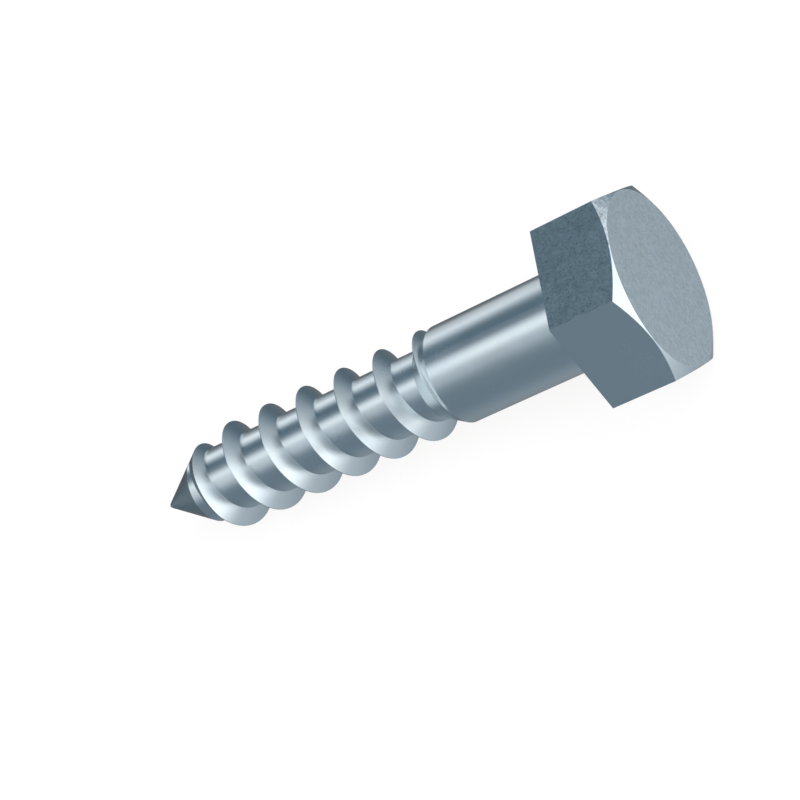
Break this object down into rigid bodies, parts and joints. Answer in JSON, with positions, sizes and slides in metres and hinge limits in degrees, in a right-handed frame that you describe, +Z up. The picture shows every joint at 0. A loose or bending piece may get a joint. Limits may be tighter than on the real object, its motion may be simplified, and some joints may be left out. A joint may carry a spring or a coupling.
{
  "type": "hex head wood screw",
  "caption": "Hexagon head wood screw with a plain shank and a coarse right-hand thread that ends in a cone point; it is driven into timber with a spanner.",
  "frame": {"origin": "on the floor under the middle of the screw as it lies at rest, on one flat's edge and the crest of the thread", "axes": "+X along the screw as seen from above, from the tip to the head; +Z up; the screw's axis rises towards the head by 4.73 degrees"},
  "size_m": [0.0576, 0.0192, 0.0172],
  "materials": {
    "zinc_plated_steel": "bright zinc plating, satin"
  },
  "bodies": {
    "root": {"hex_head_wood_screw": "zinc_plated_steel"}
  },
  "joints": []
}
